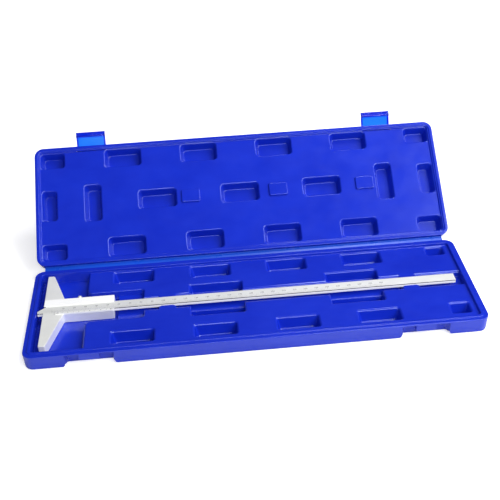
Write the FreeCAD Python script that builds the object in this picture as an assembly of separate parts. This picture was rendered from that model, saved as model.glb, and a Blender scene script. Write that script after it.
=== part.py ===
import FreeCAD, Part
import math
import os

# Vernier depth gauge for 300 mm, lying in its fitted blow-moulded case.
# Millimetres. Origin: centre of the case base's bottom face. +X along the case, from the
# gauge's bridge to the beam's far end; +Y to the hinge at the back; +Z up.
# The pieces are written where they lie with the case open. The lid and its latches are
# shaped closed, on top of the base, and then turned open about the two lines of the hinge.

# ---- driving dimensions: the case ----
CASE_LENGTH = 403.0
CASE_WIDTH = 122.8
CORNER_RADIUS = 8.7
FLANGE_Z = 14.3             # outer rim of the base, where the lid's lip comes down
TONGUE_Z = 15.05            # raised band inside the outer rim
TONGUE_INSET = 3.7
DECK_Z = 12.4               # flat deck round the recesses
DECK_INSET = 6.95           # from the outside of the case to the deck's edge
DECK_RADIUS = 2.6
FOOT_RADIUS = 4.3           # rounding of a half's closed side, as an inset
LID_DEPTH = 12.4
LID_GAP = 0.2               # between the closed lid's lip and the flange
CASE_CLEARANCE = 0.25       # between the case and the pieces that lie or turn in it
LID_RIM_STEP = 0.95         # the lid's inner rim stands back over the tongue
LID_PANEL_STEP = 2.3        # from the lip to the lid's inner panel
LID_PANEL_INSET = 4.7       # from the outside of the case to the panel's edge
LID_PANEL_RADIUS = 3.3
WALL_TAPER = 0.16           # sideways per millimetre of depth, for the mould
DEEP_TAPER = 0.24           # the same, in the base's deep pockets

# ---- driving dimensions: pockets and recesses, as (x, y, length, width) in plan ----
POCKET_RADIUS = 3.1
POCKET_DEPTH = 11.0
BASE_POCKET_PITCH = 72.35
BASE_POCKET_LENGTH = 37.4
BASE_POCKET_ROWS = ((44.4, 17.5), (-41.5, 15.9))    # (y, width)
BASE_CORNER_POCKETS = ((180.7, 46.6, 17.6, 12.0), (180.7, -40.6, 17.6, 13.6))
FINGER_POCKETS = ((-32.4, 2.2, 48.6, 45.2), (94.2, 2.2, 48.3, 45.2))
FINGER_FLOOR_Z = 2.5
SHELF_FRONT_Y = -8.4        # the channel's floor runs through the finger pockets as a shelf
SHELF_BACK_Y = 13.3
CHANNEL_START_X = -102.3
CHANNEL_WIDTH = 17.8
CHANNEL_DEPTH = 5.6
CHANNEL_RADIUS = 1.9
SADDLES_X = (-77.8, 145.4)
SADDLE_LENGTH = 15.5
PINCH_WIDTH = 7.4           # the swelling of the deck that holds the beam's side
PINCH_RADIUS = 3.4
RECESS_HEAD_X = -150.7      # the bridge's part of the recess ends here
RECESS_STEP_X = -122.8      # from here on it is only as deep as the channel
RECESS_END_X = -98.9
RECESS_BACK_Y = 24.2
RECESS_FRONT_Y = -16.4
RECESS_HEAD_RADIUS = 5.0
LID_POCKET_RADIUS = 3.4
LID_POCKET_DEPTH = 4.7
LID_POCKET_PITCH = 76.1
LID_POCKET_ROWS = (46.3, -46.6)
LID_POCKET_SIZE = (36.1, 18.5)
LID_CORNER_POCKETS = ((184.1, 47.9, 23.8, 15.8), (184.1, -47.9, 23.8, 15.8))
LID_END_POCKETS = ((145.4, -0.6, 16.7, 37.8), (188.0, -0.3, 14.8, 31.2))
LID_MIDDLE_POCKETS_X = (-82.0, 0.0, 82.0)
LID_MIDDLE_POCKET_SIZE = (37.7, 18.8)
LID_PADS_X = (-49.2, 38.0, 125.2)
LID_PAD_SIZE = (18.6, 13.3)
MIDDLE_ROW_Y = -0.3

# ---- driving dimensions: the living hinge and the latches ----
HINGE_LENGTH = 388.0
HINGE_WEB = 8.3             # between the two folding lines
HINGE_DROP = 4.85           # folding line below the base's flange
HINGE_STAND_OFF = 0.7       # folding lines outside the back walls
HINGE_THICKNESS = 0.7
HINGE_BEAD_RADIUS = 0.5
HINGE_LAND = 0.15           # rib on each back wall that meets the bead
LID_TURN = 71.17            # open from closed, at each of the two folding lines
LATCH_X = 145.1
LATCH_WIDTH = 28.8
LATCH_REACH = 17.4          # pivot to the end of the grip
LATCH_TURN = 63.0           # open from closed
LATCH_PLATE = 1.2
LATCH_RIB = 1.2
LATCH_PIVOT_IN = 2.5        # behind the case's front face
LATCH_PIVOT_UP = 4.2        # above the lid's lip
LATCH_BAR_RADIUS = 1.05
LATCH_BAR_CLEARANCE = 0.06
LATCH_BARREL_RADIUS = 1.85
LATCH_HOUSING_DEPTH = 5.2   # notch in the lid's front wall
NOTCH_WIDTH = 37.8
NOTCH_DEPTH = 5.6
CATCH_WIDTH = 18.0
CATCH_Z = 6.6               # underside of the catch
HOOK_DROP = 0.55            # closed hook below the catch

# ---- driving dimensions: the gauge ----
GAUGE_Y = 2.5               # centre line of the beam
REFERENCE_X = -188.9        # reference face of the bridge
BRIDGE_HALF_LENGTH = 50.0
BRIDGE_TIP_WIDTH = 5.9
NECK_X = -170.8             # where the wings run into the slider
SLIDER_END_X = -125.6
SLIDER_BACK = 13.3          # from the centre line
SLIDER_FRONT = 8.4
FRAME_BOTTOM = 4.3
FRAME_TOP = 13.9
FRAME_EDGE = 0.25
BEAM_WIDTH = 10.0
BEAM_THICKNESS = 3.5
BEAM_TOP = 13.87
BEAM_TIP_X = -193.9
BEAM_END_X = 187.4
BEAM_GROOVE = 0.5
SLIDING_CLEARANCE = 0.04
GIB_THICKNESS = 0.6
PLATE_THICKNESS = 0.8
PLATE_LAP = 0.9             # guide plate over the beam's back edge
PLATE_SCREWS_X = (-184.1, -167.4, -147.6, -130.8)
PLATE_SCREW_IN = 3.4        # from the rail's back face
PLATE_SCREW_HEAD = (1.75, 1.2)                      # (radius, height)
GIB_SCREWS_X = (-176.1, -138.9)
GIB_SCREW_LENGTH = 5.2
VERNIER_LENGTH = 52.0
VERNIER_WIDTH = 3.8
VERNIER_SCREW_RADIUS = 0.75
VERNIER_SCREW_DEPTH = 2.2   # in the frame
CLAMP_X = -157.5
CLAMP_RADIUS = 1.25
CLAMP_HEAD_RADIUS = 2.0
CLAMP_HEAD_LENGTH = 3.5
SCREW_RADIUS = 0.95
STOP_PIN_RADIUS = 0.75
STOP_PIN_IN = 3.1           # from the beam's end

# ---- worked out from them ----
BASE_OUTER_Y = CASE_WIDTH / 2
BEAM_BOTTOM = BEAM_TOP - BEAM_THICKNESS
BEAM_MIDDLE = BEAM_TOP - BEAM_THICKNESS / 2
BEAM_BACK = GAUGE_Y + BEAM_WIDTH / 2
BEAM_FRONT = GAUGE_Y - BEAM_WIDTH / 2
SLOT_BACK = BEAM_BACK + GIB_THICKNESS + 3 * SLIDING_CLEARANCE
RAIL_BACK = GAUGE_Y + SLIDER_BACK
PLATE_TOP = FRAME_TOP + PLATE_THICKNESS
RECESS_Z = FRAME_BOTTOM - CASE_CLEARANCE
CHANNEL_Z = DECK_Z - CHANNEL_DEPTH
LID_Z = FLANGE_Z + LID_GAP
FOLD_BASE = FreeCAD.Vector(0, BASE_OUTER_Y + HINGE_STAND_OFF, FLANGE_Z - HINGE_DROP)
FOLD_LID = FOLD_BASE + FreeCAD.Vector(0, 0, HINGE_WEB)
LATCH_PIVOT = FreeCAD.Vector(0, LATCH_PIVOT_IN - BASE_OUTER_Y, LID_Z + LATCH_PIVOT_UP)
ORIGIN = FreeCAD.Vector(0, 0, 0)
ALONG_X = FreeCAD.Vector(1, 0, 0)
ALONG_Y = FreeCAD.Vector(0, 1, 0)
ALONG_Z = FreeCAD.Vector(0, 0, 1)


# ---- small helpers ----
def corner_arc(before, corner, after, radius, inset):
    """Start, middle and end of the arc at an outline's corner once its sides move inwards."""
    ax, ay = corner[0] - before[0], corner[1] - before[1]
    bx, by = after[0] - corner[0], after[1] - corner[1]
    a_length, b_length = math.hypot(ax, ay), math.hypot(bx, by)
    ax, ay, bx, by = ax / a_length, ay / a_length, bx / b_length, by / b_length
    turn = math.atan2(ax * by - ay * bx, ax * bx + ay * by)
    half = math.tan(abs(turn) / 2)
    side = math.copysign(1.0, turn)
    # the corner itself, moved along both normals
    x = corner[0] + inset * (-ay + ax * -half * side)
    y = corner[1] + inset * (ax + ay * -half * side)
    r = max(radius - inset * side, 0.1)
    start = (x - ax * r * half, y - ay * r * half)
    end = (x + bx * r * half, y + by * r * half)
    centre = (start[0] - ay * r * side, start[1] + ax * r * side)
    out_x, out_y = x - centre[0], y - centre[1]
    reach = math.hypot(out_x, out_y)
    middle = (centre[0] + out_x / reach * r, centre[1] + out_y / reach * r)
    return start, middle, end


def outline(corners, radii, inset, z):
    """Closed wire at height z: straight sides moved inwards, joined by tangent arcs."""
    count = len(corners)
    arcs = []
    for i in range(count):
        arcs.append(corner_arc(corners[i - 1], corners[i], corners[(i + 1) % count], radii[i], inset))
    edges = []
    for i in range(count):
        start, middle, end = [FreeCAD.Vector(px, py, z) for px, py in arcs[i]]
        edges.append(Part.Arc(start, middle, end).toShape())
        next_start = FreeCAD.Vector(*arcs[(i + 1) % count][0], z)
        edges.append(Part.LineSegment(end, next_start).toShape())
    return Part.Wire(edges)


def box(x_low, x_high, y_low, y_high, z_low, z_high):
    corner = FreeCAD.Vector(x_low, y_low, z_low)
    return Part.makeBox(x_high - x_low, y_high - y_low, z_high - z_low, corner)


def rod(radius, length, x, y, z, direction=ALONG_Z):
    return Part.makeCylinder(radius, length, FreeCAD.Vector(x, y, z), direction)


def section_along_x(points, x_low, x_high):
    """Solid with a constant section, given as (y, z) points, between two x positions."""
    wire = Part.makePolygon([FreeCAD.Vector(x_low, y, z) for y, z in points + points[:1]])
    return Part.Face(wire).extrude(FreeCAD.Vector(x_high - x_low, 0, 0))


def rounded_block(place, radius, levels):
    """Rectangular solid with round upright corners: one profile, extruded both ways and turned
    about each corner. place is (x, y, length, width) and levels are (z, inset) pairs."""
    x, y, length, width = place
    dx = length / 2 - radius
    dy = width / 2 - radius
    profile = [(radius - inset, z) for z, inset in levels]
    section = [(y - dy - reach, z) for reach, z in profile]
    section += [(y + dy + reach, z) for reach, z in reversed(profile)]
    solids = [section_along_x(section, x - dx, x + dx)]
    side = [FreeCAD.Vector(x - dx - reach, y - dy, z) for reach, z in profile]
    side += [FreeCAD.Vector(x + dx + reach, y - dy, z) for reach, z in reversed(profile)]
    solids.append(Part.Face(Part.makePolygon(side + side[:1])).extrude(ALONG_Y * 2 * dy))
    quarter = [FreeCAD.Vector(0, 0, levels[0][0])]
    quarter += [FreeCAD.Vector(reach, 0, z) for reach, z in profile]
    quarter.append(FreeCAD.Vector(0, 0, levels[-1][0]))
    turned = Part.Face(Part.makePolygon(quarter + quarter[:1])).revolve(ORIGIN, ALONG_Z, 90)
    for quadrant, (side_x, side_y) in enumerate([(1, 1), (-1, 1), (-1, -1), (1, -1)]):
        corner = turned.copy()
        corner.rotate(ORIGIN, ALONG_Z, 90 * quadrant)
        corner.translate(FreeCAD.Vector(x + side_x * dx, y + side_y * dy, 0))
        solids.append(corner)
    return solids[0].fuse(solids[1:]).removeSplitter()


def pocket(place, radius, mouth_z, floor_z, taper):
    """Tool for a tapered pocket: a drafted block whose four leaning edges are rounded. It stands
    proud of the mouth, so that it cuts clean through the surface there."""
    x, y, length, width = place
    over = math.copysign(1.0, mouth_z - floor_z)
    top_z = mouth_z + over
    shrink = taper * abs(mouth_z - floor_z)
    sides = []
    for middle, half in ((y, width / 2), (x, length / 2)):
        low, high = half - shrink, half + taper
        sides.append([(middle - low, floor_z), (middle + low, floor_z), (middle + high, top_z), (middle - high, top_z)])
    along = section_along_x(sides[0], x - length, x + length)
    corners = [FreeCAD.Vector(px, y - width, z) for px, z in sides[1] + sides[1][:1]]
    across = Part.Face(Part.makePolygon(corners)).extrude(ALONG_Y * 2 * width)
    block = along.common(across)
    leaning = [edge for edge in block.Edges if edge.BoundBox.ZLength > 0.5]
    return block.makeFillet(radius, leaning)


def case_ring(inset):
    """Plan of the case, all round, moved in by inset."""
    return (0.0, 0.0, CASE_LENGTH - 2 * inset, CASE_WIDTH - 2 * inset)


def case_profile(closed_z, open_z):
    """Outside of a case half: rounded towards its closed side, straighter towards the open one."""
    up = math.copysign(FOOT_RADIUS, open_z - closed_z)
    levels = [
        (closed_z, FOOT_RADIUS),
        (closed_z + up * 0.3, 0.53 * FOOT_RADIUS),
        (closed_z + up * 1.3, 0.2 * FOOT_RADIUS),
        (open_z, 0.0),
    ]
    return sorted(levels)


def into_open_lid(shape):
    """Turns a piece shaped on the closed lid into its place on the open one."""
    turned = shape.copy()
    turned.rotate(FOLD_LID, ALONG_X, -LID_TURN)
    turned.rotate(FOLD_BASE, ALONG_X, -LID_TURN)
    return turned


# ---- the case ----
def latch_notch(x):
    """Tool for the notch in the base's front wall, leaving the catch to hook under."""
    front = -BASE_OUTER_Y
    lip_z = FLANGE_Z - 1.0
    outside = 6.0
    opening = (x, front + (NOTCH_DEPTH - outside) / 2, NOTCH_WIDTH, NOTCH_DEPTH + outside)
    tool = rounded_block(opening, 2.5, [(-1.0, -0.8), (lip_z, 0.9)])
    catch = (x, front + NOTCH_DEPTH / 2 + 1, CATCH_WIDTH, NOTCH_DEPTH + 2)
    return tool.cut(rounded_block(catch, 0.9, [(CATCH_Z, 0.3), (lip_z + 1, 0.0)]))


def inside_rim(tool):
    """The part of a recess's tool that stays off the raised rim."""
    levels = [(RECESS_Z - 1, 0.0), (DECK_Z + 1, 0.0)]
    return tool.common(rounded_block(case_ring(DECK_INSET), DECK_RADIUS, levels))


def gauge_recess():
    """Tool for the recess that holds the bridge and the slider."""
    half = BASE_OUTER_Y - DECK_INSET
    left = DECK_INSET - CASE_LENGTH / 2
    corners = [
        (left, -half),
        (RECESS_HEAD_X, -half),
        (RECESS_HEAD_X, RECESS_FRONT_Y),
        (RECESS_END_X, RECESS_FRONT_Y),
        (RECESS_END_X, RECESS_BACK_Y),
        (RECESS_HEAD_X, RECESS_BACK_Y),
        (RECESS_HEAD_X, half),
        (left, half),
    ]
    rim, head, end = DECK_RADIUS, RECESS_HEAD_RADIUS, POCKET_RADIUS
    radii = [rim, rim, head, end, end, head, rim, rim]
    levels = [(RECESS_Z, WALL_TAPER * (DECK_Z - RECESS_Z)), (DECK_Z + 1, -WALL_TAPER)]
    tool = Part.makeLoft([outline(corners, radii, inset, z) for z, inset in levels], True, True)
    step = box(RECESS_STEP_X, RECESS_END_X, RECESS_FRONT_Y - 2, RECESS_BACK_Y + 2, RECESS_Z - 1, CHANNEL_Z)
    # the walls under the rim stay upright, so the floor is as wide as the mouth there
    upright = box(left, RECESS_HEAD_X - 1.2, -half, half, RECESS_Z, DECK_Z + 1)
    return inside_rim(tool.cut(step).fuse(upright))


def beam_channel():
    """Tool for the channel under the beam, with two saddles that carry it and pinch its sides."""
    end = CASE_LENGTH / 2 - DECK_INSET
    channel = ((CHANNEL_START_X + end) / 2, GAUGE_Y, end - CHANNEL_START_X, CHANNEL_WIDTH)
    tool = pocket(channel, CHANNEL_RADIUS, DECK_Z, CHANNEL_Z, WALL_TAPER)
    for x in SADDLES_X:
        carry = (x, GAUGE_Y, SADDLE_LENGTH, CHANNEL_WIDTH + PINCH_WIDTH)
        carry_levels = [(CHANNEL_Z - 1, -1.2), (BEAM_BOTTOM - CASE_CLEARANCE, 0.0)]
        tool = tool.cut(rounded_block(carry, CHANNEL_RADIUS, carry_levels))
        for side in (-1, 1):
            pinch_y = GAUGE_Y + side * (BEAM_WIDTH / 2 + CASE_CLEARANCE + PINCH_WIDTH / 2)
            pinch = (x, pinch_y, SADDLE_LENGTH, PINCH_WIDTH)
            tool = tool.cut(rounded_block(pinch, PINCH_RADIUS, [(CHANNEL_Z - 1, 0.0), (DECK_Z + 2, 0.0)]))
    return inside_rim(tool)


def finger_pocket(place):
    """Tool for a deep pocket across the channel, whose floor runs on through it as a shelf."""
    tool = pocket(place, POCKET_RADIUS, DECK_Z, FINGER_FLOOR_Z, WALL_TAPER)
    foot = 0.9
    edge = 0.6
    shelf = section_along_x(
        [
            (SHELF_FRONT_Y - foot, FINGER_FLOOR_Z - 1),
            (SHELF_FRONT_Y, CHANNEL_Z - edge),
            (SHELF_FRONT_Y + edge, CHANNEL_Z),
            (SHELF_BACK_Y - edge, CHANNEL_Z),
            (SHELF_BACK_Y, CHANNEL_Z - edge),
            (SHELF_BACK_Y + foot, FINGER_FLOOR_Z - 1),
        ],
        place[0] - place[2],
        place[0] + place[2],
    )
    return tool.cut(shelf)


def base_pockets():
    """Tools for the two rows of pockets in the base's deck."""
    places = list(BASE_CORNER_POCKETS)
    for y, width in BASE_POCKET_ROWS:
        for step in (-1.5, -0.5, 0.5, 1.5):
            places.append((step * BASE_POCKET_PITCH, y, BASE_POCKET_LENGTH, width))
    return [pocket(place, POCKET_RADIUS, DECK_Z, DECK_Z - POCKET_DEPTH, DEEP_TAPER) for place in places]


def hinge_land(fold_z, low, high):
    """Rib along a back wall that meets the hinge's bead at height fold_z."""
    land_y = BASE_OUTER_Y + HINGE_LAND
    inside_y = land_y - 3.7
    flat = 0.75
    section = [(inside_y, fold_z - low), (land_y, fold_z - flat), (land_y, fold_z + flat), (inside_y, fold_z + high)]
    return section_along_x(section, -HINGE_LENGTH / 2, HINGE_LENGTH / 2)


def case_base():
    """Lower half of the case: deck, recesses for the gauge, notches and catches in front."""
    body = rounded_block(case_ring(0), CORNER_RADIUS, case_profile(0.0, FLANGE_Z))
    tongue_levels = [(DECK_Z, 0.0), (TONGUE_Z, 0.4)]
    tongue = rounded_block(case_ring(TONGUE_INSET), CORNER_RADIUS - TONGUE_INSET, tongue_levels)
    body = body.fuse([tongue, hinge_land(FOLD_BASE.z, 3.7, 3.1)])
    deck_levels = [(DECK_Z, 0.0), (TONGUE_Z + 1, -0.7)]
    tools = [rounded_block(case_ring(DECK_INSET), DECK_RADIUS, deck_levels)]
    tools += [gauge_recess(), beam_channel()] + [finger_pocket(place) for place in FINGER_POCKETS]
    tools += base_pockets()
    tools += [latch_notch(-LATCH_X), latch_notch(LATCH_X)]
    return body.cut(tools).removeSplitter()


def lid_pockets(mouth_z):
    """Tools for the rows of pockets in the lid's inner panel, opening downwards when closed."""
    places = [(x, MIDDLE_ROW_Y, *LID_MIDDLE_POCKET_SIZE) for x in LID_MIDDLE_POCKETS_X]
    for row_y in LID_POCKET_ROWS:
        places += [(step * LID_POCKET_PITCH, row_y, *LID_POCKET_SIZE) for step in (-1.5, -0.5, 0.5, 1.5)]
    for x, *rest in LID_CORNER_POCKETS + LID_END_POCKETS:
        places += [(-x, *rest), (x, *rest)]
    floor_z = mouth_z + LID_POCKET_DEPTH
    return [pocket(place, LID_POCKET_RADIUS, mouth_z, floor_z, WALL_TAPER) for place in places]


def latch_housing(x):
    """Tool for the notch in the lid's front wall that the latch turns in."""
    outside = 6.0
    depth = LATCH_HOUSING_DEPTH
    opening = (x, -BASE_OUTER_Y + (depth - outside) / 2, LATCH_WIDTH + 1.8, depth + outside)
    return rounded_block(opening, 1.2, [(LID_Z + 1.4, 0.0), (LID_Z + LID_DEPTH + 1, -0.1)])


def case_lid():
    """Upper half of the case, shaped closed and then turned open."""
    body = rounded_block(case_ring(0), CORNER_RADIUS, case_profile(LID_Z + LID_DEPTH, LID_Z))
    body = body.fuse(hinge_land(FOLD_LID.z, 2.8, 3.7))
    rim_z = LID_Z + LID_RIM_STEP
    panel_z = LID_Z + LID_PANEL_STEP
    seat_inset = TONGUE_INSET - 0.3
    seat = rounded_block(case_ring(seat_inset), CORNER_RADIUS - seat_inset, [(LID_Z - 1, -0.6), (rim_z, 0.2)])
    panel_levels = [(LID_Z - 1, -0.6), (panel_z, 0.3)]
    panel = rounded_block(case_ring(LID_PANEL_INSET), LID_PANEL_RADIUS, panel_levels)
    tools = [seat, panel] + lid_pockets(panel_z) + [latch_housing(-LATCH_X), latch_housing(LATCH_X)]
    body = body.cut(tools)
    additions = []
    for x in LID_PADS_X:
        pad = (x, MIDDLE_ROW_Y, *LID_PAD_SIZE)
        pad_levels = [(LID_Z + 0.4, 0.8), (panel_z + 1, 0.0)]
        additions.append(rounded_block(pad, 1.9, pad_levels))
    for x in (-LATCH_X, LATCH_X):
        length = LATCH_WIDTH + 5
        additions.append(rod(LATCH_BAR_RADIUS, length, x - length / 2, LATCH_PIVOT.y, LATCH_PIVOT.z, ALONG_X))
    return into_open_lid(body.fuse(additions).removeSplitter())


def hinge_strip():
    """Thin web between the two folding lines, with a bead along each."""
    low = FOLD_BASE.z
    high = FOLD_LID.z
    half = HINGE_THICKNESS / 2
    web = box(-HINGE_LENGTH / 2, HINGE_LENGTH / 2, FOLD_BASE.y - half, FOLD_BASE.y + half, low, high)
    beads = [rod(HINGE_BEAD_RADIUS, HINGE_LENGTH, -HINGE_LENGTH / 2, FOLD_BASE.y, z, ALONG_X) for z in (low, high)]
    strip = web.fuse(beads).removeSplitter()
    strip.rotate(FOLD_BASE, ALONG_X, -LID_TURN)
    return strip


def latch(x):
    """Snap latch: barrel on the lid's bar, thin plate, hook for the catch and a grip below it."""
    pivot_y = LATCH_PIVOT.y
    pivot_z = LATCH_PIVOT.z
    inner = -BASE_OUTER_Y - 0.3
    outer = inner - LATCH_PLATE
    end = pivot_z - LATCH_REACH
    hook_top = CATCH_Z - HOOK_DROP
    hook_bottom = hook_top - 1.7
    shoulder = 1.35
    low_x = x - LATCH_WIDTH / 2
    high_x = x + LATCH_WIDTH / 2
    section = [
        (pivot_y, pivot_z + shoulder),
        (outer + 1.2, pivot_z + shoulder),
        (outer, pivot_z + 0.25),
        (outer, hook_bottom + 0.3),
        (outer - 1.2, end + 0.75),
        (outer - 0.9, end),
        (outer + 0.4, end),
        (inner, hook_bottom),
        (inner + 1.6, hook_bottom),
        (inner + 2.1, hook_bottom + 0.5),
        (inner + 2.1, hook_top),
        (inner, hook_top),
        (inner, pivot_z - 1.0),
        (inner + 0.55, pivot_z - shoulder),
        (pivot_y, pivot_z - shoulder),
    ]
    plate = section_along_x(section, low_x, high_x)
    rib = [(outer, pivot_z - 0.9), (outer - 0.6, pivot_z - 2.2), (outer - 0.6, hook_top), (outer, hook_top)]
    ribs = [section_along_x(rib, rib_x, rib_x + LATCH_RIB) for rib_x in (low_x, high_x - LATCH_RIB)]
    barrel = rod(LATCH_BARREL_RADIUS, LATCH_WIDTH, low_x, pivot_y, pivot_z, ALONG_X)
    bore = rod(LATCH_BAR_RADIUS + LATCH_BAR_CLEARANCE, LATCH_WIDTH + 2, low_x - 1, pivot_y, pivot_z, ALONG_X)
    shape = plate.fuse([barrel] + ribs).cut(bore).removeSplitter()
    shape.rotate(LATCH_PIVOT, ALONG_X, -LATCH_TURN)
    return into_open_lid(shape)


# ---- the gauge ----
def plate_screw_places():
    return [(x, RAIL_BACK - PLATE_SCREW_IN) for x in PLATE_SCREWS_X]


def vernier_screw_places():
    y = GAUGE_Y - SLIDER_FRONT + 1.4
    end = SLIDER_END_X - 0.25
    return [(end - VERNIER_LENGTH + 2.5, y), (end - 2.5, y)]


def gauge_frame():
    """Bridge with its two tapering wings and the slider, in one piece, open on top for the beam."""
    tip = REFERENCE_X + BRIDGE_TIP_WIDTH
    half = BRIDGE_HALF_LENGTH
    corners = [
        (REFERENCE_X, GAUGE_Y - half),
        (tip, GAUGE_Y - half),
        (NECK_X, GAUGE_Y - SLIDER_FRONT),
        (SLIDER_END_X, GAUGE_Y - SLIDER_FRONT),
        (SLIDER_END_X, RAIL_BACK),
        (NECK_X, RAIL_BACK),
        (tip, GAUGE_Y + half),
        (REFERENCE_X, GAUGE_Y + half),
    ]
    radii = [1.0, 2.0, 2.2, 0.5, 0.5, 2.2, 2.0, 1.0]
    blank = Part.Face(outline(corners, radii, 0, FRAME_BOTTOM)).extrude(ALONG_Z * (FRAME_TOP - FRAME_BOTTOM))
    rims = [edge for edge in blank.Edges if edge.BoundBox.ZLength < FRAME_EDGE]
    body = blank.makeChamfer(FRAME_EDGE, rims)
    slot_front = BEAM_FRONT - SLIDING_CLEARANCE
    slot_z = BEAM_BOTTOM - SLIDING_CLEARANCE
    tools = [box(REFERENCE_X - 1, SLIDER_END_X + 1, slot_front, SLOT_BACK, slot_z, FRAME_TOP + 1)]
    through = RAIL_BACK - SLOT_BACK + 2
    for x in GIB_SCREWS_X:
        tools.append(rod(SCREW_RADIUS, through, x, SLOT_BACK - 1, BEAM_MIDDLE, ALONG_Y))
    tools.append(rod(CLAMP_RADIUS + SLIDING_CLEARANCE, through, CLAMP_X, SLOT_BACK - 1, BEAM_MIDDLE, ALONG_Y))
    head_radius, head_height = PLATE_SCREW_HEAD
    for x, y in plate_screw_places():
        tools.append(rod(SCREW_RADIUS, FRAME_TOP - FRAME_BOTTOM + 2, x, y, FRAME_BOTTOM - 1))
        tools.append(rod(head_radius + 0.15, head_height + 1.4, x, y, FRAME_BOTTOM - 1))
    for x, y in vernier_screw_places():
        tools.append(rod(VERNIER_SCREW_RADIUS, 5, x, y, FRAME_TOP - VERNIER_SCREW_DEPTH))
    return body.cut(tools)


def guide_plate():
    """Flat cover along the back rail that laps the beam and keeps it down."""
    low = BEAM_BACK - PLATE_LAP
    high = RAIL_BACK - 0.2
    blank = box(REFERENCE_X + 0.25, SLIDER_END_X - 0.25, low, high, FRAME_TOP, PLATE_TOP)
    plate = blank.makeChamfer(0.2, [edge for edge in blank.Edges if edge.BoundBox.ZMin > FRAME_TOP + 0.1])
    for x, y in plate_screw_places():
        plate = plate.cut(rod(SCREW_RADIUS, 1.5, x, y, FRAME_TOP - 1))
    return plate


def guide_plate_screws():
    """Cheese-head screws from below, up through the frame into the guide plate."""
    head_radius, head_height = PLATE_SCREW_HEAD
    head_z = FRAME_BOTTOM + 0.4
    screws = []
    for x, y in plate_screw_places():
        head = rod(head_radius, head_height, x, y, head_z)
        shank = rod(SCREW_RADIUS, FRAME_TOP + 0.5 - head_z, x, y, head_z)
        screws.append(head.fuse(shank).removeSplitter())
    return Part.makeCompound(screws)


def vernier_plate():
    """Vernier scale plate on the front rail, bevelled down to the beam's face."""
    low = GAUGE_Y - SLIDER_FRONT + 0.2
    high = low + VERNIER_WIDTH
    end = SLIDER_END_X - 0.25
    section = [
        (low, FRAME_TOP),
        (high, FRAME_TOP),
        (high, FRAME_TOP + 0.15),
        (high - 1.5, PLATE_TOP),
        (low + 0.2, PLATE_TOP),
        (low, PLATE_TOP - 0.2),
    ]
    plate = section_along_x(section, end - VERNIER_LENGTH, end)
    for x, y in vernier_screw_places():
        plate = plate.cut(rod(VERNIER_SCREW_RADIUS, 3, x, y, FRAME_TOP - 1))
    return plate


def vernier_screws():
    """Two small slotted grub screws, flush in the vernier plate."""
    low_z = FRAME_TOP - VERNIER_SCREW_DEPTH
    screws = []
    for x, y in vernier_screw_places():
        screw = rod(VERNIER_SCREW_RADIUS, PLATE_TOP - low_z, x, y, low_z)
        slot = box(x - 1.2, x + 1.2, y - 0.12, y + 0.12, PLATE_TOP - 0.25, PLATE_TOP + 1)
        screws.append(screw.cut(slot))
    return Part.makeCompound(screws)


def gib_strip():
    """Thin strip between the beam's back edge and the rail, pressed on by the gib screws."""
    low = BEAM_BACK + SLIDING_CLEARANCE
    return box(REFERENCE_X + 0.9, SLIDER_END_X - 0.6, low, low + GIB_THICKNESS, BEAM_BOTTOM + 0.25, BEAM_TOP - 0.25)


def gib_screws():
    """Two slotted set screws in the back rail."""
    start_y = SLOT_BACK - SLIDING_CLEARANCE
    end_y = start_y + GIB_SCREW_LENGTH
    screws = []
    for x in GIB_SCREWS_X:
        screw = rod(SCREW_RADIUS, GIB_SCREW_LENGTH, x, start_y, BEAM_MIDDLE, ALONG_Y)
        slot = box(x - 1.2, x + 1.2, end_y - 0.5, end_y + 1, BEAM_MIDDLE - 0.15, BEAM_MIDDLE + 0.15)
        screws.append(screw.cut(slot))
    return Part.makeCompound(screws)


def clamp_screw():
    """Thumb screw through the back rail, which locks the beam through the gib."""
    head_y = RAIL_BACK + 0.3
    shank = rod(CLAMP_RADIUS, head_y + 0.6 - SLOT_BACK, CLAMP_X, SLOT_BACK, BEAM_MIDDLE, ALONG_Y)
    collar = 0.8 * CLAMP_HEAD_RADIUS
    profile = [
        (0.0, 0.0),
        (collar, 0.0),
        (collar, 0.6),
        (CLAMP_HEAD_RADIUS, 0.95),
        (CLAMP_HEAD_RADIUS, CLAMP_HEAD_LENGTH - 0.3),
        (CLAMP_HEAD_RADIUS - 0.25, CLAMP_HEAD_LENGTH),
        (0.0, CLAMP_HEAD_LENGTH),
    ]
    points = [FreeCAD.Vector(CLAMP_X + r, head_y + along, BEAM_MIDDLE) for r, along in profile]
    face = Part.Face(Part.makePolygon(points + points[:1]))
    head = face.revolve(FreeCAD.Vector(CLAMP_X, 0, BEAM_MIDDLE), ALONG_Y, 360)
    return head.fuse(shank).removeSplitter()


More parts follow.
